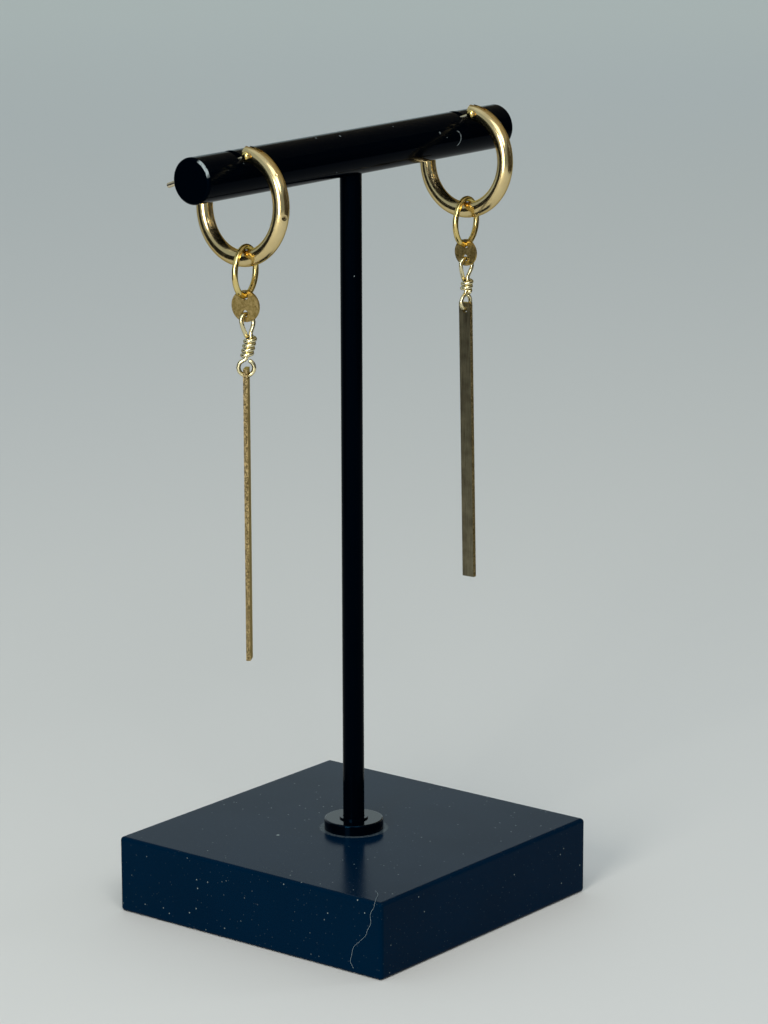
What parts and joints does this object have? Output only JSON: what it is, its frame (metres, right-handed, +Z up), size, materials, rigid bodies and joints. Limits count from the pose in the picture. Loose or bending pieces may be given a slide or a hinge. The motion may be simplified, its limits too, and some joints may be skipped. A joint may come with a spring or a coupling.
{
  "type": "pair of bar earrings on a T-bar display stand",
  "caption": "Gold tube hoop earrings with long flat bar drops on ring, disc and wrapped wire links, hung by their posts in the slots of a black T-bar stand on a square base.",
  "frame": {"origin": "centre of the base's underside, where the stand rests", "axes": "+Z up along the stem, X along the cross bar, -Y the side on which the hoops' closed fronts hang"},
  "size_m": [0.0844, 0.06, 0.1425],
  "materials": {
    "base_lacquer": "satin black lacquer on a wood-fibre block",
    "stand_metal": "glossy black powder coat",
    "hoop_gold": "polished pale gold",
    "post_wire": "drawn gold-filled wire",
    "ring_gold": "polished yellow gold",
    "disc_gold": "satin, finely scratched",
    "link_gold": "polished pale gold wire",
    "bar_gold": "brushed along its length"
  },
  "bodies": {
    "stand": {"base": "base_lacquer", "collar": "stand_metal", "stem": "stand_metal", "cross_bar": "stand_metal", "left_hoop": "hoop_gold", "left_post": "post_wire", "right_hoop": "hoop_gold", "right_post": "post_wire"},
    "left_drop": {"left_jump_ring": "ring_gold", "left_disc": "disc_gold", "left_wire_link": "link_gold"},
    "left_pendant": {"left_bar": "bar_gold"},
    "right_drop": {"right_jump_ring": "ring_gold", "right_disc": "disc_gold", "right_wire_link": "link_gold"},
    "right_pendant": {"right_bar": "bar_gold"}
  },
  "joints": [
    {"name": "left_drop_swing", "type": "hinge", "parent": "stand", "child": "left_drop", "pos_m": [-0.03403, -0.00461, 0.12334], "axis": [0.0476, 0.9911, -0.1243], "range_deg": [-12, 60]},
    {"name": "left_bar_swing", "type": "hinge", "parent": "left_drop", "child": "left_pendant", "pos_m": [-0.03403, -0.00461, 0.10344], "axis": [0.515, -0.8572, 0], "range_deg": [-30, 30]},
    {"name": "right_drop_swing", "type": "hinge", "parent": "stand", "child": "right_drop", "pos_m": [0.02791, -0.00403, 0.12369], "axis": [0.0183, 0.9982, -0.0566], "range_deg": [-60, 12]},
    {"name": "right_bar_swing", "type": "hinge", "parent": "right_drop", "child": "right_pendant", "pos_m": [0.02791, -0.00403, 0.10559], "axis": [1, 0, 0], "range_deg": [-30, 30]}
  ]
}
